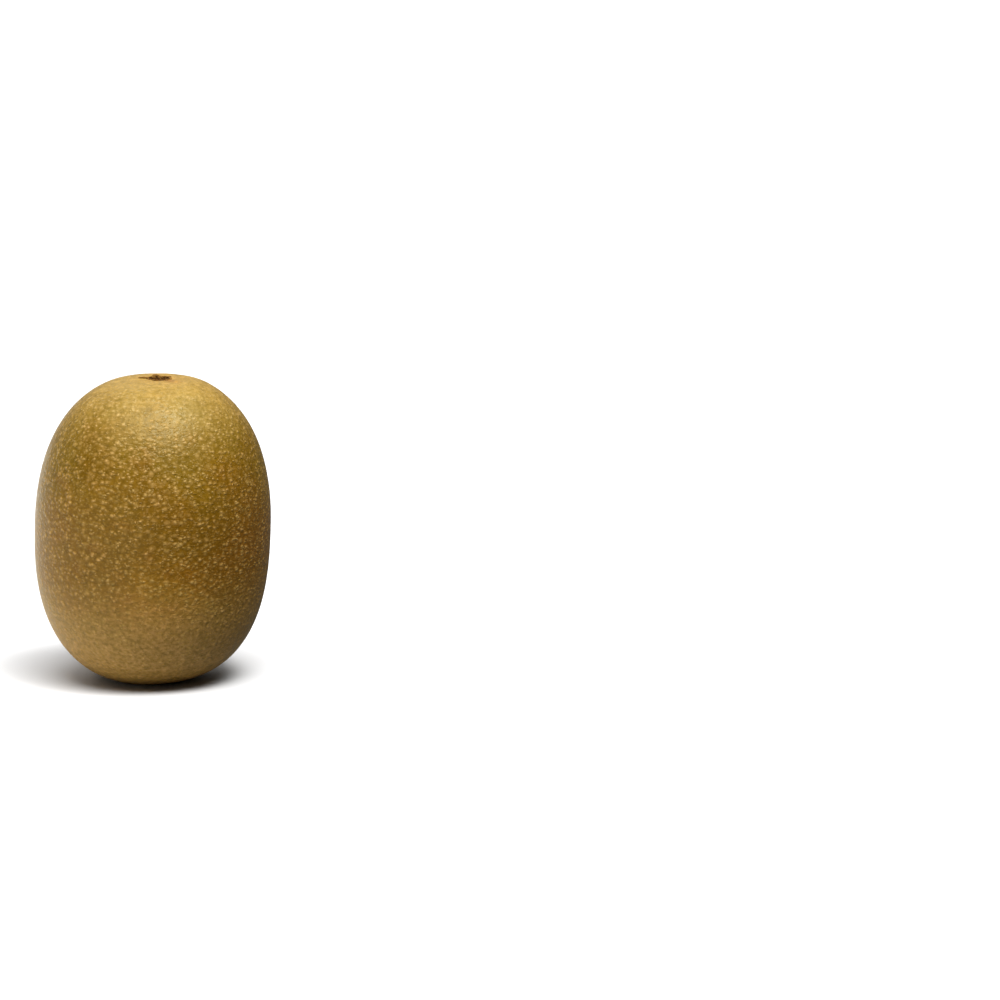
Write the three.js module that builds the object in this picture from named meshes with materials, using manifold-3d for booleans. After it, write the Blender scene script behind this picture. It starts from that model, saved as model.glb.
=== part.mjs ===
// A gold kiwifruit as picked, standing on its blossom end. It grew as one body, so it is one solid:
// a full, slightly oval barrel with a shallow dimple at the stem end. In the dimple sit the round
// stalk scar, with its woody plug and corky lip, and what is left of five dry sepals. Underneath,
// a small basin holds the dry button of the styles, inside the flat spot that the fruit rests on.
// Millimetres, +Z up. The origin is under the middle of the fruit, on the plane it stands on.
import * as THREE from "three";
import { mergeVertices } from "three/addons/utils/BufferGeometryUtils.js";
import Module from "manifold-3d";

// Overall size, standing as picked.
const height = 66.5;
const width = 50.6; // across X at the belly
const depth = 48.8; // across Y: the section is slightly oval

// How the barrel is rounded and how it stands.
const stemFullness = 2.27; // superellipse exponent of the upper half, 2 would be an ellipse
const blossomFullness = 2.52; // the lower half is a little fuller
const restDepth = 0.42; // how much the flat spot takes off the blossom end
const leanForward = 2.5; // degrees that the stem end tips towards -Y
const leanSideways = 1.6; // degrees that it tips towards +X
const stalkShift = 1; // how far the stalk grew from the axis, towards +X
const blossomShift = -1.5; // how far the blossom did
const shiftReach = 12; // how far out the ends are drawn along with them

// Stem end.
const dimpleDepth = 1;
const dimpleRadius = 4.8; // where the dimple has risen back to a third of its depth
const puckerDepth = 0.09; // soft pleats running into the dimple
const puckerCount = 9;
const lipRaggedness = 0.13; // how unevenly the corky lip broke, in and out

// Stalk scar, from the axis out: [radius, height above the skin it sits in].
const stalkScar = [
  [0, -0.62],
  [0.35, -0.5],
  [0.75, -0.52],
  [1.05, -0.78],
  [1.4, -1.02],
  [1.75, -0.86],
  [1.98, -0.4],
  [2.12, 0.02],
  [2.32, 0.15],
  [2.6, 0.1],
  [2.95, 0.02],
];

// Blossom end, from the axis out, in the same way: the button of the styles in its basin.
const blossomBasin = [
  [0, 1.25],
  [0.45, 1.15],
  [0.85, 1.25],
  [1.1, 1.65],
  [1.5, 1.7],
  [1.9, 1.2],
  [2.3, 0.5],
  [2.75, 0.06],
  [3.4, 0],
];

// Dry sepals round the scar: [angle in degrees from +X, length, width, rise of the tip]. One lies
// out flat along the skin, one is a curled-up stub, and three broke off short.
const sepals = [
  [178, 3.1, 0.85, 0.1],
  [110, 1.35, 1.5, 0.7],
  [38, 1, 1.2, 0.15],
  [320, 0.95, 1.1, 0.02],
  [246, 0.9, 1.25, 0],
];
const sepalThickness = 0.46;
const sepalRoot = 1.9; // how far from the axis a sepal starts, inside the lip

// How finely the surface is faceted.
const meridians = 76;
const halfRows = 20; // rows between the belly and each pole
const poleRows = 2; // of those, how many the scar or basin stands in for
const moundRadii = [3.4, 4]; // extra rows where the stem dimple curves most

const halfWidth = width / 2;
const halfHeight = height / 2;

const wasm = await Module();
wasm.setup();

// A closed three.js geometry as a solid.
function solidOf(geometry) {
  const bare = geometry.clone().deleteAttribute("normal").deleteAttribute("uv");
  const merged = mergeVertices(bare, 1e-4);
  return new wasm.Manifold(
    new wasm.Mesh({
      numProp: 3,
      vertProperties: merged.attributes.position.array,
      triVerts: new Uint32Array(merged.index.array),
    }),
  );
}

// A solid as a three.js geometry.
function geometryOf(solid) {
  const mesh = solid.getMesh();
  const geometry = new THREE.BufferGeometry();
  geometry.setAttribute("position", new THREE.BufferAttribute(mesh.vertProperties, 3));
  geometry.setIndex(new THREE.BufferAttribute(mesh.triVerts, 1));
  geometry.computeVertexNormals();
  return geometry;
}

// Height of the bare barrel above its belly at a radius, for one half's fullness.
function barrelHeight(radius, fullness) {
  return halfHeight * (1 - (radius / halfWidth) ** fullness) ** (1 / fullness);
}

function dimple(radius) {
  return dimpleDepth * Math.exp(-((radius / dimpleRadius) ** 2));
}

function stemHeight(radius) {
  return barrelHeight(radius, stemFullness) - dimple(radius);
}

// Rows of one half between the belly and its pole, evenly spaced round the superellipse.
function halfProfile(fullness) {
  const rows = [];
  for (let row = 0; row <= halfRows - poleRows; row++) {
    const angle = ((row / halfRows) * Math.PI) / 2;
    const radius = halfWidth * Math.cos(angle) ** (2 / fullness);
    rows.push([radius, barrelHeight(radius, fullness)]);
  }
  return rows;
}

// The outline from the blossom pole, round the belly, to the stem pole.
function fruitProfile() {
  const point = ([radius, z]) => new THREE.Vector2(radius, z);
  const basin = blossomBasin.map(([radius, rise]) =>
    point([radius, rise - barrelHeight(radius, blossomFullness)]),
  );
  const lower = halfProfile(blossomFullness)
    .map(([radius, z]) => point([radius, -z]))
    .reverse();
  const upper = halfProfile(stemFullness)
    .slice(1)
    .map(([radius]) => point([radius, stemHeight(radius)]));
  const mound = moundRadii.map((radius) => point([radius, stemHeight(radius)])).reverse();
  const scar = stalkScar
    .map(([radius, rise]) => point([radius, rise + stemHeight(radius)]))
    .reverse();
  return [...basin, ...lower, ...upper, ...mound, ...scar];
}

// Slow swellings of the flesh, as a share of the radius.
function swelling(theta, z) {
  const climb = z / halfHeight;
  return (
    1 +
    0.005 * Math.sin(2 * theta + 0.7 + climb) +
    0.006 * Math.sin(3 * theta - 1.1 + 2.6 * climb) +
    0.002 * Math.sin(5 * theta + 2.1 - 3.4 * climb)
  );
}

// Pleats that run into the stem dimple, deepest on its slope and gone at the shoulder.
function pucker(theta, radius) {
  const reach = Math.exp(-(((radius - 4.4) / 2.1) ** 2));
  return puckerDepth * reach * Math.cos(puckerCount * theta + 1.3 * Math.sin(2 * theta));
}

// The torn fibres of the stalk on the floor of the scar.
function fibres(theta, radius) {
  const reach = Math.exp(-(((radius - 1.1) / 0.55) ** 2));
  return reach * (0.09 * Math.sin(5 * theta + 3 * radius) + 0.06 * Math.sin(11 * theta - 1.2));
}

// The corky lip broke unevenly: how far it is pushed out or in at this angle.
function raggedLip(theta, radius) {
  const onLip = Math.exp(-(((radius - 2.15) / 0.4) ** 2));
  return lipRaggedness * onLip * (Math.sin(3 * theta + 0.4) + 0.6 * Math.sin(7 * theta + 1.9));
}

// Bases of the dried styles, round the button of the blossom end.
function styleBases(theta, radius) {
  const reach = Math.exp(-(((radius - 0.7) / 0.35) ** 2));
  return 0.12 * reach * Math.cos(8 * theta);
}

// Makes a round shape oval, swollen, puckered and ragged, as the fruit grew.
function grown(geometry) {
  const position = geometry.attributes.position;
  for (let i = 0; i < position.count; i++) {
    const [x, y, z] = [position.getX(i), position.getY(i), position.getZ(i)];
    const radius = Math.hypot(x, y);
    const theta = Math.atan2(y, x);
    const atStem = z > 0;
    const reach = radius * swelling(theta, z) + (atStem ? raggedLip(theta, radius) : 0);
    const shift = (atStem ? stalkShift : blossomShift) * Math.exp(-((radius / shiftReach) ** 2));
    const raised = atStem
      ? pucker(theta, radius) + fibres(theta, radius)
      : styleBases(theta, radius);
    position.setXYZ(
      i,
      reach * Math.cos(theta) + shift,
      reach * Math.sin(theta) * (depth / width),
      z + raised,
    );
  }
  return geometry;
}

function barrel() {
  return grown(new THREE.LatheGeometry(fruitProfile(), meridians).rotateX(Math.PI / 2));
}

// One dry sepal: a blade along +X from its root, tapered to a blunt tip, cupped and bedded in the skin.
function sepal([angle, length, width, rise]) {
  const blade = new THREE.SphereGeometry(1, 14, 9);
  const position = blade.attributes.position;
  for (let i = 0; i < position.count; i++) {
    const along = (position.getX(i) + 1) / 2;
    const taper = 1 - 0.55 * along;
    const across = position.getY(i);
    const cup = 0.12 * across ** 2;
    position.setXYZ(
      i,
      sepalRoot + length * along,
      (width / 2) * across * taper,
      (sepalThickness / 2) * position.getZ(i) * taper + cup + rise * along ** 1.5,
    );
  }
  const bed = stemHeight(sepalRoot + length / 2) + 0.02;
  return grown(blade.translate(0, 0, bed).rotateZ(THREE.MathUtils.degToRad(angle)));
}

// Stands the fruit on its blossom end: leans it and cuts the flat spot, then brings it to its
// overall size, with the origin under its middle.
function stood(solid) {
  const leaned = solid.rotate([leanForward, leanSideways, 0]);
  const low = leaned.boundingBox().min[2];
  const ground = new THREE.BoxGeometry(2 * width, 2 * width, height);
  ground.translate(0, 0, -height / 2);
  const cut = leaned.translate([0, 0, -low - restDepth]).subtract(solidOf(ground));
  const { min, max } = cut.boundingBox();
  return cut
    .translate([-(min[0] + max[0]) / 2, -(min[1] + max[1]) / 2, 0])
    .scale([width / (max[0] - min[0]), depth / (max[1] - min[1]), height / max[2]]);
}

const fruit = sepals.reduce(
  (body, one) => body.add(solidOf(sepal(one))),
  solidOf(barrel()),
);

const kiwifruit = new THREE.Mesh(
  geometryOf(stood(fruit)),
  new THREE.MeshStandardMaterial({ color: 0x84612a, roughness: 0.5, metalness: 0 }),
);
kiwifruit.name = "kiwifruit";

const part = new THREE.Group();
part.add(kiwifruit);

export default part;
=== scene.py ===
import math

import bpy
from mathutils import Matrix, Vector


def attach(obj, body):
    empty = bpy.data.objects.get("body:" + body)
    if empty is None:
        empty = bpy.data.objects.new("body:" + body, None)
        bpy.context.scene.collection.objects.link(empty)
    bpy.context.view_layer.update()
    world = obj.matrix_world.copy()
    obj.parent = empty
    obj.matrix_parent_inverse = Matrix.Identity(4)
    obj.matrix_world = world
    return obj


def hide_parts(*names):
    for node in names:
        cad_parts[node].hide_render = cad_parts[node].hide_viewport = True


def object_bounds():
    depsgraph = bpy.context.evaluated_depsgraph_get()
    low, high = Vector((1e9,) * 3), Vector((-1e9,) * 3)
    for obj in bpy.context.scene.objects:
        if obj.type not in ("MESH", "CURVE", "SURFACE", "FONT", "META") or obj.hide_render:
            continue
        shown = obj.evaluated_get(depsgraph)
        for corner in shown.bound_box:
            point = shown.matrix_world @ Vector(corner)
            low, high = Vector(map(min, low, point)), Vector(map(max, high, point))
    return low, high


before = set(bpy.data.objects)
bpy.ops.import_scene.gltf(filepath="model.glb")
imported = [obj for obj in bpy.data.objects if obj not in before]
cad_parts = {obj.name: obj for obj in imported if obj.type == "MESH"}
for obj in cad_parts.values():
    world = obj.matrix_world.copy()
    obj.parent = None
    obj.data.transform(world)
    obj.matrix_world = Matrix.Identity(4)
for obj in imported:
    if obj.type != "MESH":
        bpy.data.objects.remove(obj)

cadLow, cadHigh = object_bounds()
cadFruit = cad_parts["kiwifruit"]
cadMiddle = (cadLow + cadHigh) / 2
cadHalf = (cadHigh - cadLow) / 2
mm = 0.001
print("frame loaded")

# where the two ends of the fruit are, and how far it leans in degrees, as the solid has them, but that the
# scar lies a little lower
ends = {
    "scar": Vector((1.97, -1.33, 65.55)) * mm,
    "blossom": Vector((-2.28, 1.44, 0.6)) * mm,
    "leanForward": 2.5,
    "leanSideways": 1.6,
}


def pickNone():
    bpy.ops.object.select_all(action="DESELECT")


def pickOnly(piece):
    pickNone()
    piece.select_set(True)
    bpy.context.view_layer.objects.active = piece


def useModifier(piece, kind, **settings):
    pickOnly(piece)
    modifier = piece.modifiers.new(kind.title(), kind)
    for name, value in settings.items():
        setattr(modifier, name, value)
    bpy.ops.object.modifier_apply(modifier=modifier.name)


def editAll(piece):
    pickOnly(piece)
    bpy.ops.object.mode_set(mode="EDIT")
    bpy.ops.mesh.select_all(action="SELECT")


def editDone():
    bpy.ops.object.mode_set(mode="OBJECT")


def smoothShaded(piece):
    pickOnly(piece)
    bpy.ops.object.shade_smooth()


# Node helpers, for shader trees and geometry trees alike.

def addNode(tree, kind, inputs=None, **settings):
    node = tree.nodes.new(kind)
    for name, value in settings.items():
        setattr(node, name, value)
    for name, value in (inputs or {}).items():
        if isinstance(value, bpy.types.NodeSocket):
            tree.links.new(value, node.inputs[name])
        else:
            node.inputs[name].default_value = value
    return node


def maths(tree, operation, a, b=0.0):
    return addNode(tree, "ShaderNodeMath", {0: a, 1: b}, operation=operation).outputs[0]


def vectorMaths(tree, operation, a, b=(0.0, 0.0, 0.0)):
    node = addNode(tree, "ShaderNodeVectorMath", {0: a, 1: b}, operation=operation)
    return node.outputs["Value" if operation in ("DISTANCE", "DOT_PRODUCT") else "Vector"]


def scaled(tree, vector, factor):
    return addNode(tree, "ShaderNodeVectorMath", {0: vector, "Scale": factor}, operation="SCALE").outputs[0]


def ramp(tree, value, fromLow, fromHigh, toLow=0.0, toHigh=1.0):
    node = addNode(tree, "ShaderNodeMapRange", {
        "Value": value, "From Min": fromLow, "From Max": fromHigh, "To Min": toLow, "To Max": toHigh,
    }, interpolation_type="SMOOTHSTEP")
    return node.outputs["Result"]


def fade(tree, value, near, far):
    return ramp(tree, value, near, far, 1.0, 0.0)


def noise(tree, place, size, detail=2.0, rough=0.5, distortion=0.0, **settings):
    return addNode(tree, "ShaderNodeTexNoise", {
        "Vector": place, "Scale": 1.0 / size, "Detail": detail, "Roughness": rough, "Distortion": distortion,
    }, **settings)


def level(tree, place, *shape, **settings):
    return noise(tree, place, *shape, **settings).outputs[0]


def mixColour(tree, share, a, b, blend="MIX"):
    node = addNode(tree, "ShaderNodeMix", data_type="RGBA", blend_type=blend)
    for socket, value in ((node.inputs[0], share), (node.inputs[6], a), (node.inputs[7], b)):
        if isinstance(value, bpy.types.NodeSocket):
            tree.links.new(value, socket)
        elif isinstance(value, tuple):
            socket.default_value = (*value, 1.0)
        else:
            socket.default_value = value
    return node.outputs[2]


def byChannel(tree, red, green, blue):
    return addNode(tree, "ShaderNodeCombineXYZ", {0: red, 1: green, 2: blue}).outputs[0]


# The pale corky spots of the skin, the same in colour and in relief, all in millimetres.
lenticels = {
    "stretch": (0.93, 0.93, 1.14),  # they are a little wider than high
    "wander": (1.0, 2.0, 0.6),  # size, detail and roughness of the noise that moves them
    "wanderReach": 0.42,
    "layers": [
        # spacing, smallest and largest radius, flat share of the radius, strength
        (0.94, 0.38, 0.78, 0.12, 0.58),
        (0.6, 0.16, 0.34, 0.0, 0.4),
        (2.6, 0.5, 0.85, 0.1, 0.6),
    ],
    "core": (0.94, 0.18, 0.36, 0.1, 0.34),  # on the same places as the first layer
    "scatter": 0.9,  # 1 is wholly by chance, 0 a grid
    "faintest": 0.35,
    "depth": (0.28, 0.42),  # how far from the surface a spot may lie, as shares of the spacing
    "height": 0.03,
    "glintStretch": (0.42, 0.42, 1.7),
    "glint": (1.0, 0.1, 0.26, 0.0, 1.0),
}


def spread(tree, place, stretch):
    # wavers the places a little, and gives the way out of the fruit there, both in the stretched pattern
    half = cadHalf / mm
    flatten = Vector([1 / (half[i] ** 2 * stretch[i]) for i in range(3)])
    outwards = vectorMaths(tree, "SUBTRACT", place, cadMiddle / mm)
    outwards = vectorMaths(tree, "NORMALIZE", vectorMaths(tree, "MULTIPLY", outwards, flatten))
    place = vectorMaths(tree, "MULTIPLY", place, stretch)
    wander = noise(tree, place, *lenticels["wander"]).outputs["Color"]
    wander = vectorMaths(tree, "SUBTRACT", wander, (0.5, 0.5, 0.5))
    wander = scaled(tree, wander, 2 * lenticels["wanderReach"])
    return vectorMaths(tree, "ADD", place, wander), outwards


def spotLayer(tree, place, outwards, spacing, smallest, largest, flat, strength):
    cells = addNode(tree, "ShaderNodeTexVoronoi", {
        "Vector": place, "Scale": 1.0 / spacing, "Randomness": lenticels["scatter"],
    })
    chance = addNode(tree, "ShaderNodeSeparateXYZ", {0: cells.outputs["Color"]})
    away = vectorMaths(tree, "SUBTRACT", place, cells.outputs["Position"])
    # only cells whose middle is near the surface count, and only the distance along the surface
    depth = vectorMaths(tree, "DOT_PRODUCT", away, outwards)
    far = vectorMaths(tree, "DOT_PRODUCT", away, away)
    along = maths(tree, "SUBTRACT", far, maths(tree, "MULTIPLY", depth, depth))
    along = maths(tree, "SQRT", maths(tree, "MAXIMUM", along, 0.0))
    shallow, deep = lenticels["depth"]
    near = fade(tree, maths(tree, "ABSOLUTE", depth), shallow * spacing, deep * spacing)
    outer = ramp(tree, chance.outputs["X"], 0.0, 1.0, smallest, largest)
    spot = fade(tree, along, maths(tree, "MULTIPLY", outer, flat), outer)
    bright = ramp(tree, chance.outputs["Y"], 0.0, 1.0, lenticels["faintest"] * strength, strength)
    return maths(tree, "MULTIPLY", maths(tree, "MULTIPLY", spot, near), bright)


def lenticelMask(tree, place):
    there = spread(tree, place, lenticels["stretch"])
    common, small, large = [spotLayer(tree, *there, *layer) for layer in lenticels["layers"]]
    core = spotLayer(tree, *there, *lenticels["core"])
    body = maths(tree, "MAXIMUM", maths(tree, "ADD", common, core), large)
    return maths(tree, "MAXIMUM", body, small)


def glintMask(tree, place):
    # short level ridges that catch the light
    return spotLayer(tree, *spread(tree, place, lenticels["glintStretch"]), *lenticels["glint"])


# The skin: a fine even mesh wrapped onto the solid, with the relief of a real skin.
skin = {
    "weld": 0.001 * mm,
    "sphereLevel": 6,
    "cuts": 2,
    "clearance": 1.0 * mm,
    "smoothFrom": 2.35 * mm,  # the ring round the scar where the sepals' own pieces take over
    "smoothTo": 6.2 * mm,
    "smoothFactor": 0.5,
    "smoothPasses": 30,
    "sunkFrom": 2.75 * mm,  # and inside it the skin runs under the scar's own piece
    "sunkTo": 2.2 * mm,
    "sunk": 0.9 * mm,
    "sunkBelow": 3 * mm,  # how far under the scar the skin can still be the scar's
    # the right shoulder is a little fuller than the solid's, except near the scar
    "shoulder": Vector((15.0, 0.0, 60.0)) * mm,
    "shoulderReach": (6.0 * mm, 20.0 * mm),
    "shoulderRise": 0.2 * mm,
    "scarClear": (7.5 * mm, 3.5 * mm),
    # and the top round the scar is a little lower
    "topReach": (5.0 * mm, 12.0 * mm),
    "topDrop": 0.2 * mm,
    "unevenHeight": 0.035,  # millimetres
    "unevenSize": 2.6,
    "grainHeight": 0.012,
    "grainSize": 0.7,
}


def smoothGuide():
    guide = bpy.data.objects.new("skinGuide", cadFruit.data.copy())
    bpy.context.scene.collection.objects.link(guide)
    editAll(guide)
    bpy.ops.mesh.remove_doubles(threshold=skin["weld"])
    bpy.ops.mesh.tris_convert_to_quads()
    editDone()
    useModifier(guide, "SUBSURF", levels=2, render_levels=2)
    return guide


def reliefTree():
    tree = bpy.data.node_groups.new("skinRelief", "GeometryNodeTree")
    tree.interface.new_socket(name="Geometry", in_out="INPUT", socket_type="NodeSocketGeometry")
    tree.interface.new_socket(name="Geometry", in_out="OUTPUT", socket_type="NodeSocketGeometry")
    entry = addNode(tree, "NodeGroupInput")
    leave = addNode(tree, "NodeGroupOutput")
    position = addNode(tree, "GeometryNodeInputPosition").outputs[0]
    normal = addNode(tree, "GeometryNodeInputNormal").outputs[0]
    place = scaled(tree, position, 1 / mm)
    spots = maths(tree, "MULTIPLY", lenticelMask(tree, place), lenticels["height"])
    uneven = maths(tree, "MULTIPLY", level(tree, place, skin["unevenSize"]), skin["unevenHeight"])
    grain = maths(tree, "MULTIPLY", level(tree, place, skin["grainSize"]), skin["grainHeight"])
    height = maths(tree, "ADD", maths(tree, "ADD", spots, uneven), grain)
    # everything is sunk a little, so that the highest spots end where the surface was before the relief
    highest = lenticels["height"] + skin["unevenHeight"] + skin["grainHeight"]
    lifted = maths(tree, "MULTIPLY", maths(tree, "SUBTRACT", height, highest), mm)
    moved = addNode(tree, "GeometryNodeSetPosition", {
        "Geometry": entry.outputs[0], "Offset": scaled(tree, normal, lifted),
    })
    tree.links.new(moved.outputs[0], leave.inputs[0])
    return tree


def wrappedBall():
    guide = smoothGuide()
    pickNone()
    bpy.ops.mesh.primitive_ico_sphere_add(subdivisions=skin["sphereLevel"], radius=1)
    piece = bpy.context.object
    piece.name = "kiwiSkin"
    editAll(piece)
    bpy.ops.mesh.subdivide(number_cuts=skin["cuts"])
    editDone()
    useModifier(piece, "CAST", cast_type="SPHERE", factor=1.0)
    editAll(piece)
    bpy.ops.transform.resize(value=cadHalf + Vector((1, 1, 1)) * skin["clearance"])
    bpy.ops.transform.translate(value=cadMiddle)
    editDone()
    useModifier(
        piece, "SHRINKWRAP", target=guide, wrap_method="PROJECT",
        use_negative_direction=True, use_positive_direction=True,
    )
    bpy.data.objects.remove(guide)
    return piece


def softShare(distance, full, none):
    # 1 on the full side, 0 on the other, and smooth in between
    share = min(1.0, max(0.0, (none - distance) / (none - full)))
    return share * share * (3 - 2 * share)


def fillShoulder(piece):
    shoulder = piece.vertex_groups.new(name="rightShoulder")
    for vertex in piece.data.vertices:
        share = softShare((vertex.co - skin["shoulder"]).length, *skin["shoulderReach"])
        share *= softShare((vertex.co - ends["scar"]).length, *skin["scarClear"])
        if share > 0:
            shoulder.add([vertex.index], share, "REPLACE")
    useModifier(
        piece, "DISPLACE", direction="NORMAL", strength=skin["shoulderRise"], mid_level=0,
        vertex_group="rightShoulder")


def lowerTop(piece):
    top = piece.vertex_groups.new(name="top")
    for vertex in piece.data.vertices:
        share = softShare((vertex.co - ends["scar"]).length, *skin["topReach"])
        if share > 0:
            top.add([vertex.index], share, "REPLACE")
    useModifier(
        piece, "DISPLACE", direction="Z", strength=-skin["topDrop"], mid_level=0, vertex_group="top")


def makeSkin():
    piece = wrappedBall()
    fillShoulder(piece)
    lowerTop(piece)
    aroundScar = piece.vertex_groups.new(name="aroundScar")
    for vertex in piece.data.vertices:
        if skin["smoothFrom"] < (vertex.co - ends["scar"]).length < skin["smoothTo"]:
            aroundScar.add([vertex.index], 1.0, "REPLACE")
    useModifier(
        piece, "SMOOTH", factor=skin["smoothFactor"], iterations=skin["smoothPasses"],
        vertex_group="aroundScar")
    underScar = piece.vertex_groups.new(name="underScar")
    for vertex in piece.data.vertices:
        away = vertex.co - ends["scar"]
        reach = math.hypot(away.x, away.y)
        if away.z > -skin["sunkBelow"] and reach < skin["sunkFrom"]:
            share = min(1.0, (skin["sunkFrom"] - reach) / (skin["sunkFrom"] - skin["sunkTo"]))
            underScar.add([vertex.index], share, "REPLACE")
    useModifier(
        piece, "DISPLACE", direction="Z", strength=-skin["sunk"], mid_level=0, vertex_group="underScar")
    useModifier(piece, "NODES", node_group=reliefTree())
    smoothShaded(piece)
    return piece


# The stalk scar: a torn woody plug inside a corky lip, in millimetres.
scar = {
    # from the hidden underside out to the lip, then inwards and down: radius, height above the lip's plane
    "rings": [
        (2.35, -1.4), (2.5, -0.75), (2.72, -0.2), (2.6, -0.02), (2.42, 0.09), (2.24, 0.13), (2.1, 0.06),
        (2.0, -0.14), (1.9, -0.42), (1.74, -0.72), (1.55, -0.86), (1.32, -0.84), (1.08, -0.66),
        (0.84, -0.52), (0.6, -0.47), (0.36, -0.5), (0.14, -0.56),
    ],
    "around": 96,
    "ragged": 0.2,
    "raggedSize": 0.9,
    "torn": 0.3,
    "tornSize": 0.35,
    "plugRadius": 2.1,  # the torn plug starts here, inside the lip
    "plugEdge": 0.4,
}


def cloudTexture(name, size, depth=2):
    texture = bpy.data.textures.new(name, "CLOUDS")
    texture.noise_scale = size * mm
    texture.noise_depth = depth
    return texture


def leanWith(piece, turn=0.0):
    # turns a piece made upright at the origin to the fruit's lean, and sets it on the scar
    sideways = Matrix.Rotation(math.radians(ends["leanSideways"]), 4, "Y")
    lean = sideways @ Matrix.Rotation(math.radians(ends["leanForward"]), 4, "X")
    piece.matrix_world = Matrix.Translation(ends["scar"]) @ lean @ Matrix.Rotation(turn, 4, "Z")
    pickOnly(piece)
    bpy.ops.object.transform_apply(location=True, rotation=True, scale=True)


def scarShell():
    radius, height = scar["rings"][0]
    pickNone()
    bpy.ops.mesh.primitive_circle_add(
        vertices=scar["around"], radius=radius * mm, location=(0, 0, 0), fill_type="NGON")
    piece = bpy.context.object
    piece.name = "stalkScar"
    editAll(piece)
    bpy.ops.transform.translate(value=(0, 0, height * mm))
    for nextRadius, nextHeight in scar["rings"][1:]:
        climb = (0, 0, (nextHeight - height) * mm)
        bpy.ops.mesh.extrude_edges_move(TRANSFORM_OT_translate={"value": climb})
        bpy.ops.transform.resize(value=(nextRadius / radius, nextRadius / radius, 1))
        radius, height = nextRadius, nextHeight
    bpy.ops.mesh.merge(type="CENTER")
    bpy.ops.mesh.select_all(action="SELECT")
    bpy.ops.mesh.normals_make_consistent(inside=False)
    editDone()
    useModifier(piece, "SUBSURF", levels=1, render_levels=1)
    return piece


def makeScar():
    piece = scarShell()
    useModifier(
        piece, "DISPLACE", texture=cloudTexture("raggedLip", scar["raggedSize"]), texture_coords="LOCAL",
        strength=scar["ragged"] * mm, mid_level=0.5, direction="NORMAL")
    plug = piece.vertex_groups.new(name="plug")
    for vertex in piece.data.vertices:
        inside = scar["plugRadius"] - math.hypot(vertex.co.x, vertex.co.y) / mm
        if inside > 0:
            plug.add([vertex.index], min(1.0, inside / scar["plugEdge"]), "REPLACE")
    useModifier(
        piece, "DISPLACE", texture=cloudTexture("tornFibres", scar["tornSize"], depth=3),
        texture_coords="LOCAL", strength=scar["torn"] * mm, mid_level=0.5, direction="Z", vertex_group="plug")
    smoothShaded(piece)
    leanWith(piece)
    return piece


# What is left of the five dry sepals, in millimetres and degrees.
sepals = {
    "blades": [
        # angle from +X, length, width, lift of the tip, curl
        (189, 2.6, 0.7, 0.05, 8),
        (112, 1.5, 1.5, 0.06, 40),
        (38, 1.1, 1.0, 0.0, 16),
        (318, 0.8, 0.9, -0.08, 12),
        (246, 0.7, 1.1, -0.1, 10),
    ],
    "segments": 28,
    "rings": 18,
    "thickness": 0.26,
    "root": 1.95,
    "rootLift": 0.06,
    "taper": -0.9,
    "crinkle": 0.12,
    "crinkleSize": 0.45,
}


def makeSepal(number, angle, length, width, lift, curl):
    pickNone()
    bpy.ops.mesh.primitive_uv_sphere_add(segments=sepals["segments"], ring_count=sepals["rings"], radius=1)
    piece = bpy.context.object
    piece.name = f"drySepal{number}"
    editAll(piece)
    bpy.ops.transform.resize(value=(length / 2 * mm, width / 2 * mm, sepals["thickness"] / 2 * mm))
    editDone()
    useModifier(piece, "SIMPLE_DEFORM", deform_method="TAPER", deform_axis="X", factor=sepals["taper"])
    useModifier(piece, "SIMPLE_DEFORM", deform_method="BEND", deform_axis="Y", angle=math.radians(-curl))
    useModifier(
        piece, "DISPLACE", texture=cloudTexture(f"crinkle{number}", sepals["crinkleSize"], depth=3),
        texture_coords="LOCAL", strength=sepals["crinkle"] * mm, mid_level=0.5, direction="Z")
    editAll(piece)
    outwards = sepals["root"] + length / 2
    bpy.ops.transform.translate(value=(outwards * mm, 0, (sepals["rootLift"] + lift) * mm))
    editDone()
    smoothShaded(piece)
    leanWith(piece, math.radians(angle))
    return piece


kiwiSkin = makeSkin()
print("skin wrapped:", len(kiwiSkin.data.polygons), "faces")
stalkScar = makeScar()
drySepals = [makeSepal(i + 1, *blade) for i, blade in enumerate(sepals["blades"])]
print("scar and sepals made")


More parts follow.
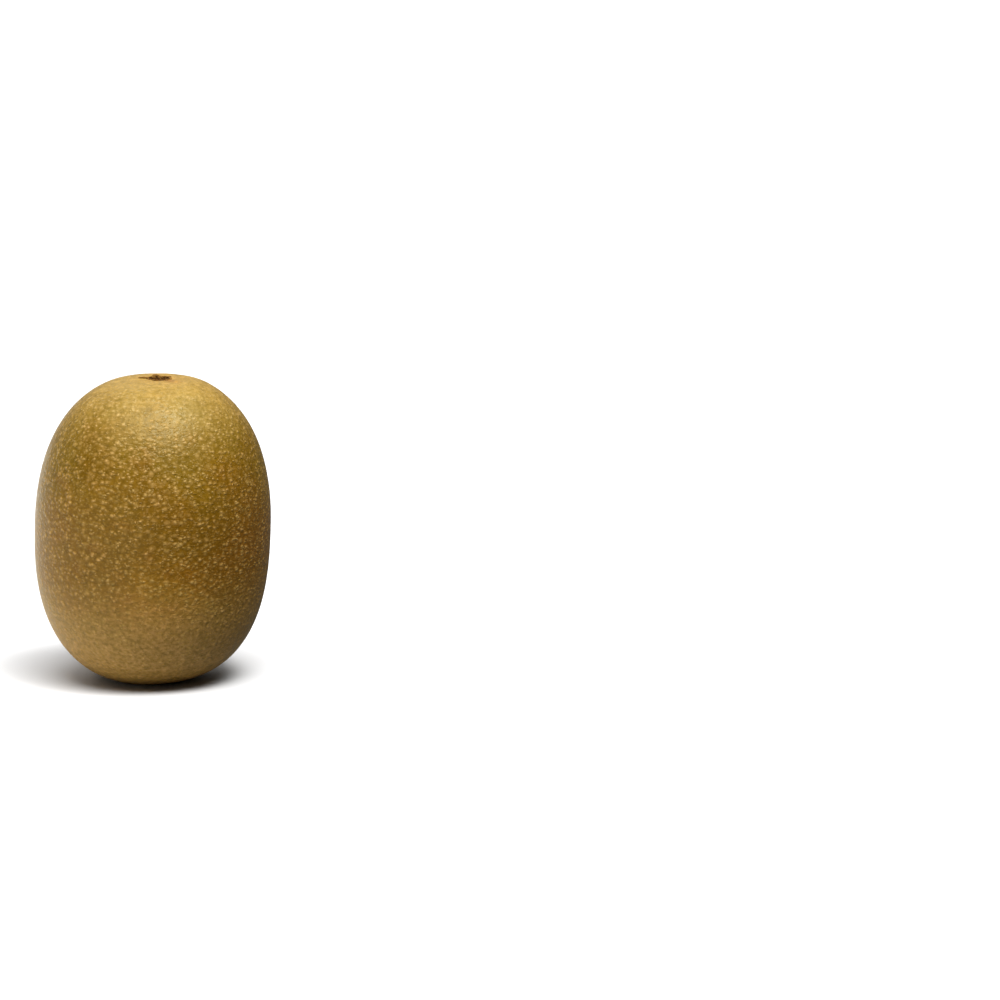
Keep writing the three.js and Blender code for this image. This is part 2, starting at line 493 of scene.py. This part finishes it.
# Materials. Colours are linear, places and sizes in millimetres. A noise has its size, detail and roughness,
# and a row of four has the range of a height, a distance or a noise, and what the finish is at its two ends.
ground = {
    "patches": (17.0, 2.0),
    "blotches": (6.0, 2.0),
    "brown": (0.146, 0.075, 0.004),
    "olive": (0.141, 0.080, 0.004),
    "oliveFrom": (0.38, 0.58),  # levels of the patches
    "russet": (0.146, 0.072, 0.005),
    "russetFrom": (0.56, 0.8),  # levels of the blotches
    "low": (0.268, 0.157, 0.047),
    "lowHeights": (8.0, 28.0),
    "belly": (0.93, 0.8, 0.75),  # how much darker and browner the middle is
    "bellyHeight": 32.0,
    "bellyReach": (2.0, 18.0),
    "gold": (0.31, 0.190, 0.041),
    "goldReach": (6.0, 28.0),  # from the scar
    "goldWander": 9.0,  # how far the blotches push that edge in or out
    "dapple": (1.9, 3.0, 0.6),
    "dappleShade": (0.3, 0.7, 0.92, 1.08),
    "styles": (0.05, 0.022, 0.006),  # the dry button of the blossom end
    "stylesReach": (1.6, 3.4, 0.85, 0.0),
    # broad tints: middle, inner and outer reach, and what they multiply the colour by; some are the skin's
    # own tone, and some are painted light, painted highlight or painted shade, as marked
    "tintsAndPaintedLight": [
        ((-12.5, -16.0, 51.5), 2.0, 12.0, (0.83, 0.83, 0.78)),  # left shoulder
        ((-22.0, -9.0, 28.0), 3.0, 16.0, (1.14, 1.2, 1.21)),  # left side: lighter, painted light thrown up from the floor, and a little more olive in its own tone
        ((-4.0, -12.0, 61.0), 1.0, 9.0, (0.94, 0.97, 1.07)),  # top, left of the middle: a little darker, and bluer, a painted highlight colour
        ((4.5, -23.0, 22.0), 3.0, 14.0, (1.34, 1.28, 1.36)),  # low front
        ((9.5, -12.0, 60.0), 1.0, 8.0, (0.99, 1.06, 1.28)),  # top, right of the middle: paler and bluer, a painted highlight
        ((9.0, -21.5, 43.0), 1.0, 8.0, (1.12, 1.13, 1.25)),  # upper front
        ((16.0, -17.0, 48.0), 1.0, 8.0, (1.12, 1.05, 1.02)),  # right shoulder
        ((20.0, -12.0, 36.0), 3.0, 15.0, (1.06, 0.98, 0.98)),  # right side
        ((1.97, -1.33, 65.75), 2.0, 8.0, (1.1, 1.03, 0.95)),  # round the scar
        ((4.4, -3.8, 65.2), 0.3, 1.7, (0.86, 0.72, 0.55)),  # brown marks in front of the scar: partly stains, partly painted shade that carries the hole's dark lower edge onto the skin
        ((5.6, -4.6, 64.8), 0.4, 2.4, (1.0, 0.9, 0.72)),
        ((-1.4, -4.4, 65.0), 0.1, 0.7, (0.6, 0.45, 0.3)),
    ],
    "shadeWander": 0.03,  # how ragged their edges are, for each millimetre of reach
}
spotFinish = {
    "plain": (0.38, 0.238, 0.076),
    "warm": (0.385, 0.227, 0.070),
    "warmFrom": (0.4, 0.6),  # levels of the blotches
    "onGold": (0.45, 0.31, 0.12),
    "lowFade": (4.0, 34.0, 0.85, 1.0),  # by height
    "topFade": (5.0, 20.0, 0.17, 1.0),  # by distance from the scar
}
grain = {
    "mottle": (0.8, 2.0, 0.5),
    "mottleShade": (0.25, 0.75, -1.0, 1.0),
    "mottleStrength": (5.0, 28.0, 0.3, 0.165),  # stronger low down, where the spots are fainter
    "net": (1.1, 1.0, 0.5, 0.6),  # with its distortion
    "netShade": (0.0, 2.0, 0.88, 1.2),
    "wrinkleStretch": (0.5, 0.5, 1.9),
    "wrinkles": (1.0, 2.0, 0.5),
    "wrinkleShade": (0.3, 0.7, 0.92, 1.08),
    "blue": 2.0,  # a power, because paler grains are less yellow too
}
gloss = {
    "rough": (0.3, 0.7, 0.3, 0.42),  # by the mottle
    "lowRough": (8.0, 36.0, 0.12, 0.0),  # added by height
    "spotRough": 0.06,
    "specular": 0.19,
    "tint": (1.0, 0.96, 0.66, 1.0),
    "relief": {"spots": 1.0, "mottle": 0.2, "wrinkles": 0.5, "glints": 0.5},
    "reliefHeight": 0.14,
}


def newMaterial(name):
    material = bpy.data.materials.new(name)
    material.use_nodes = True
    tree = material.node_tree
    place = scaled(tree, addNode(tree, "ShaderNodeTexCoord").outputs["Object"], 1 / mm)
    return material, tree, tree.nodes["Principled BSDF"], place


def distanceFrom(tree, place, centre):
    # place in millimetres, centre in metres
    return vectorMaths(tree, "DISTANCE", place, Vector(centre) / mm)


def addShade(tree, place, wander, colour, middle, inner, outer, tint):
    away = distanceFrom(tree, place, Vector(middle) * mm)
    away = maths(tree, "ADD", away, maths(tree, "MULTIPLY", wander, ground["shadeWander"] * outer))
    return mixColour(tree, fade(tree, away, inner, outer), colour, tint, "MULTIPLY")


def groundColour(tree, place, height, blotches, wander, gold):
    # the skin between the spots
    patches = level(tree, place, *ground["patches"])
    colour = mixColour(tree, ramp(tree, patches, *ground["oliveFrom"]), ground["brown"], ground["olive"])
    colour = mixColour(tree, ramp(tree, blotches, *ground["russetFrom"]), colour, ground["russet"])
    colour = mixColour(tree, fade(tree, height, *ground["lowHeights"]), colour, ground["low"])
    fromBelly = maths(tree, "ABSOLUTE", maths(tree, "SUBTRACT", height, ground["bellyHeight"]))
    belly = fade(tree, fromBelly, *ground["bellyReach"])
    colour = mixColour(tree, belly, colour, ground["belly"], "MULTIPLY")
    colour = mixColour(tree, gold, colour, ground["gold"])
    dapple = ramp(tree, level(tree, place, *ground["dapple"]), *ground["dappleShade"])
    colour = mixColour(tree, 1.0, colour, byChannel(tree, dapple, dapple, dapple), "MULTIPLY")
    styles = ramp(tree, distanceFrom(tree, place, ends["blossom"]), *ground["stylesReach"])
    colour = mixColour(tree, styles, colour, ground["styles"])
    # the broad tints, painted light, painted highlight and painted shade among them
    for shade in ground["tintsAndPaintedLight"]:
        colour = addShade(tree, place, wander, colour, *shade)
    return colour


def grainColour(tree, place, height, mottle, wrinkles):
    # fine light and dark that everything is multiplied by
    net = level(tree, place, *grain["net"], noise_type="RIDGED_MULTIFRACTAL")
    strength = ramp(tree, height, *grain["mottleStrength"])
    fine = maths(tree, "MULTIPLY", ramp(tree, mottle, *grain["mottleShade"]), strength)
    fine = maths(tree, "ADD", fine, 1.0)
    fine = maths(tree, "MULTIPLY", fine, ramp(tree, net, *grain["netShade"]))
    fine = maths(tree, "MULTIPLY", fine, ramp(tree, wrinkles, *grain["wrinkleShade"]))
    return byChannel(tree, fine, fine, maths(tree, "POWER", fine, grain["blue"]))


def skinRelief(tree, parts):
    total = 0.0
    for name, strength in gloss["relief"].items():
        total = maths(tree, "ADD", total, maths(tree, "MULTIPLY", parts[name], strength))
    return addNode(tree, "ShaderNodeBump", {
        "Height": total, "Strength": 1.0, "Distance": gloss["reliefHeight"] * mm,
    }).outputs[0]


def skinMaterial():
    material, tree, shader, place = newMaterial("kiwiSkin")
    fromScar = distanceFrom(tree, place, ends["scar"])
    height = addNode(tree, "ShaderNodeSeparateXYZ", {0: place}).outputs["Z"]
    blotches = level(tree, place, *ground["blotches"])
    mottle = level(tree, place, *grain["mottle"])
    flattened = vectorMaths(tree, "MULTIPLY", place, grain["wrinkleStretch"])
    wrinkles = level(tree, flattened, *grain["wrinkles"])
    wander = maths(tree, "MULTIPLY", maths(tree, "SUBTRACT", blotches, 0.5), ground["goldWander"])
    gold = fade(tree, maths(tree, "ADD", fromScar, wander), *ground["goldReach"])

    spots = lenticelMask(tree, place)
    share = maths(tree, "MULTIPLY", spots, ramp(tree, height, *spotFinish["lowFade"]))
    share = maths(tree, "MULTIPLY", share, ramp(tree, fromScar, *spotFinish["topFade"]))
    warmth = ramp(tree, blotches, *spotFinish["warmFrom"])
    spotColour = mixColour(tree, warmth, spotFinish["plain"], spotFinish["warm"])
    spotColour = mixColour(tree, gold, spotColour, spotFinish["onGold"])
    colour = mixColour(tree, share, groundColour(tree, place, height, blotches, wander, gold), spotColour)
    fine = grainColour(tree, place, height, mottle, wrinkles)
    tree.links.new(mixColour(tree, 1.0, colour, fine, "MULTIPLY"), shader.inputs["Base Color"])

    rough = ramp(tree, mottle, *gloss["rough"])
    rough = maths(tree, "ADD", rough, maths(tree, "MULTIPLY", share, gloss["spotRough"]))
    rough = maths(tree, "ADD", rough, ramp(tree, height, *gloss["lowRough"]))
    tree.links.new(rough, shader.inputs["Roughness"])
    shader.inputs["Specular IOR Level"].default_value = gloss["specular"]
    shader.inputs["Specular Tint"].default_value = gloss["tint"]
    relief = skinRelief(tree, {
        "spots": spots, "mottle": mottle, "wrinkles": wrinkles, "glints": glintMask(tree, place),
    })
    tree.links.new(relief, shader.inputs["Normal"])
    return material


# Dried tissue: the dark and light of its streaks, their size, and how rough and raised it is.
dried = {
    "scar": {"dark": (0.014, 0.005, 0.001), "light": (0.078, 0.027, 0.006), "size": 0.3},
    "sepal": {"dark": (0.08, 0.036, 0.008), "light": (0.22, 0.11, 0.026), "size": 0.35},
    "streaks": {"Detail": 4.0, "Roughness": 0.65, "Distortion": 1.2},
    "lightFrom": (0.35, 0.7),  # levels of the streaks
    "lip": {"dark": (0.112, 0.045, 0.010), "light": (0.28, 0.148, 0.034), "reach": (2.26, 2.73)},
    "lipMiddle": ends["scar"] + Vector((0, -0.3, 0)) * mm,  # so that the lip is darker in front
    "lipWander": 0.35,
    "lipLightFrom": (0.2, 0.6),  # levels of the crumbs
    "rough": 0.85,
    "specular": 0.06,
    "tint": (1.0, 0.7, 0.4, 1.0),
    "relief": 0.8,
    "crumbRelief": 0.5,
    "reliefHeight": 0.08,
}


def driedGroup():
    # fine streaks and crumbs of dried plant tissue, for the scar and the sepals
    tree = bpy.data.node_groups.new("driedTissue", "ShaderNodeTree")
    tree.interface.new_socket(name="Place", in_out="INPUT", socket_type="NodeSocketVector")
    tree.interface.new_socket(name="Size", in_out="INPUT", socket_type="NodeSocketFloat")
    tree.interface.new_socket(name="Streaks", in_out="OUTPUT", socket_type="NodeSocketFloat")
    tree.interface.new_socket(name="Crumbs", in_out="OUTPUT", socket_type="NodeSocketFloat")
    entry = addNode(tree, "NodeGroupInput")
    leave = addNode(tree, "NodeGroupOutput")
    scale = maths(tree, "DIVIDE", 1.0, entry.outputs["Size"])
    place = entry.outputs["Place"]
    streaks = addNode(tree, "ShaderNodeTexNoise", {"Vector": place, "Scale": scale, **dried["streaks"]})
    crumbs = addNode(tree, "ShaderNodeTexVoronoi", {"Vector": place, "Scale": scale})
    tree.links.new(streaks.outputs[0], leave.inputs["Streaks"])
    tree.links.new(crumbs.outputs["Distance"], leave.inputs["Crumbs"])
    return tree


driedTissue = driedGroup()


def lipColour(tree, place, streaks, crumbs, colour):
    lip = dried["lip"]
    away = distanceFrom(tree, place, dried["lipMiddle"])
    away = maths(tree, "ADD", away, maths(tree, "MULTIPLY", streaks, dried["lipWander"]))
    bark = mixColour(tree, ramp(tree, crumbs, *dried["lipLightFrom"]), lip["dark"], lip["light"])
    return mixColour(tree, ramp(tree, away, *lip["reach"]), colour, bark)


def driedMaterial(name, finish, withLip):
    material, tree, shader, place = newMaterial(name)
    tissue = addNode(tree, "ShaderNodeGroup", node_tree=driedTissue)
    tree.links.new(place, tissue.inputs["Place"])
    tissue.inputs["Size"].default_value = finish["size"]
    crumbs = tissue.outputs["Crumbs"]
    streaks = ramp(tree, tissue.outputs["Streaks"], *dried["lightFrom"])
    colour = mixColour(tree, streaks, finish["dark"], finish["light"])
    if withLip:
        colour = lipColour(tree, place, streaks, crumbs, colour)
    tree.links.new(colour, shader.inputs["Base Color"])
    shader.inputs["Roughness"].default_value = dried["rough"]
    shader.inputs["Specular IOR Level"].default_value = dried["specular"]
    shader.inputs["Specular Tint"].default_value = dried["tint"]
    height = maths(tree, "MULTIPLY", crumbs, dried["crumbRelief"])
    height = maths(tree, "ADD", tissue.outputs["Streaks"], height)
    bump = addNode(tree, "ShaderNodeBump", {
        "Height": height, "Strength": dried["relief"], "Distance": dried["reliefHeight"] * mm,
    })
    tree.links.new(bump.outputs[0], shader.inputs["Normal"])
    return material


kiwiSkin.data.materials.append(skinMaterial())
stalkScar.data.materials.append(driedMaterial("stalkScar", dried["scar"], True))
sepalMaterial = driedMaterial("drySepal", dried["sepal"], False)
for piece in drySepals:
    piece.data.materials.append(sepalMaterial)
print("materials made")

for piece in (kiwiSkin, stalkScar, *drySepals):
    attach(piece, "root")
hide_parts("kiwifruit")


# The floor is white to look at, but it throws more light back on the left than on the right.
paper = {
    "size": 40,  # metres
    "seen": (0.6, 0.6, 0.6),
    "thrownLeft": (0.86, 0.82, 0.69),
    "thrownRight": (0.08, 0.076, 0.065),
    "turnsOver": 45 * mm,  # to each side of the fruit's middle
    "rough": 0.9,
    "specular": 0.1,
}


def floorMaterial():
    material = bpy.data.materials.new("paleFloor")
    material.use_nodes = True
    tree = material.node_tree
    shader = tree.nodes["Principled BSDF"]
    toCamera = addNode(tree, "ShaderNodeLightPath").outputs["Is Camera Ray"]
    place = addNode(tree, "ShaderNodeTexCoord").outputs["Object"]
    across = addNode(tree, "ShaderNodeSeparateXYZ", {0: place}).outputs["X"]
    toRight = ramp(tree, across, -paper["turnsOver"], paper["turnsOver"])
    thrown = mixColour(tree, toRight, paper["thrownLeft"], paper["thrownRight"])
    tree.links.new(mixColour(tree, toCamera, thrown, paper["seen"]), shader.inputs["Base Color"])
    shader.inputs["Roughness"].default_value = paper["rough"]
    shader.inputs["Specular IOR Level"].default_value = paper["specular"]
    return material


pickNone()
bpy.ops.mesh.primitive_plane_add(size=paper["size"], location=(0, 0, 0))
floor = bpy.context.object
floor.name = "floor"
floor.data.materials.append(floorMaterial())

# Each light: elevation, azimuth from the front towards +X, and softness in degrees, then strength.
lights = {
    "softKey": (72, 2, 41, 2.8),
    "frontBox": (60, 0, 22, 0.81),
    "rightSoft": (62, 42, 32, 1.85),
    "rightBox": (63, 44, 18, 1.8),
    "leftSoft": (57, -60, 35, 0.6),
    "frontFill": (10, -42, 45, 0.2),
    "rearFill": (48, 140, 45, 0.14),
    "backSoft": (48, 195, 45, 0.4),
}
# The soft light of the room: where it is brightest, how bright, and what the camera sees of it.
studio = {"brightest": (-0.5, 0.866, 0.0), "strength": 0.33, "from": 0.2, "seen": 1.1}


def addLight(name, elevation, azimuth, softness, strength):
    up, turn = math.radians(elevation), math.radians(azimuth)
    way = Vector((math.sin(turn) * math.cos(up), -math.cos(turn) * math.cos(up), math.sin(up)))
    bpy.ops.object.light_add(type="SUN", location=way)
    lamp = bpy.context.object
    lamp.name = name
    lamp.data.energy = strength
    lamp.data.angle = math.radians(softness)
    lamp.rotation_euler = way.to_track_quat("Z", "Y").to_euler()


def addStudio():
    world = bpy.data.worlds.new("studio")
    world.use_nodes = True
    tree = world.node_tree
    backdrop = tree.nodes["Background"]
    way = addNode(tree, "ShaderNodeTexCoord").outputs["Generated"]
    facing = vectorMaths(tree, "DOT_PRODUCT", way, studio["brightest"])
    glow = ramp(tree, facing, studio["from"], 1.0, 0.0, studio["strength"])
    toCamera = addNode(tree, "ShaderNodeLightPath").outputs["Is Camera Ray"]
    strength = maths(tree, "MAXIMUM", glow, maths(tree, "MULTIPLY", toCamera, studio["seen"]))
    tree.links.new(strength, backdrop.inputs["Strength"])
    backdrop.inputs["Color"].default_value = (1, 1, 1, 1)
    bpy.context.scene.world = world


for name, settings in lights.items():
    addLight(name, *settings)
addStudio()
bpy.context.scene.view_settings.view_transform = "Standard"

lens = {"focal": 134.9, "distance": 0.8, "elevation": 10, "aim": Vector((0.07419, 0, 0.03907))}


def addCamera():
    camera = bpy.data.objects.new("camera", bpy.data.cameras.new("camera"))
    bpy.context.scene.collection.objects.link(camera)
    camera.data.lens = lens["focal"]
    rise = math.radians(lens["elevation"])
    back = Vector((0, -math.cos(rise), math.sin(rise)))
    camera.location = lens["aim"] + back * lens["distance"]
    camera.rotation_euler = back.to_track_quat("Z", "Y").to_euler()
    bpy.context.scene.camera = camera


addCamera()
print("floor, light and camera made")
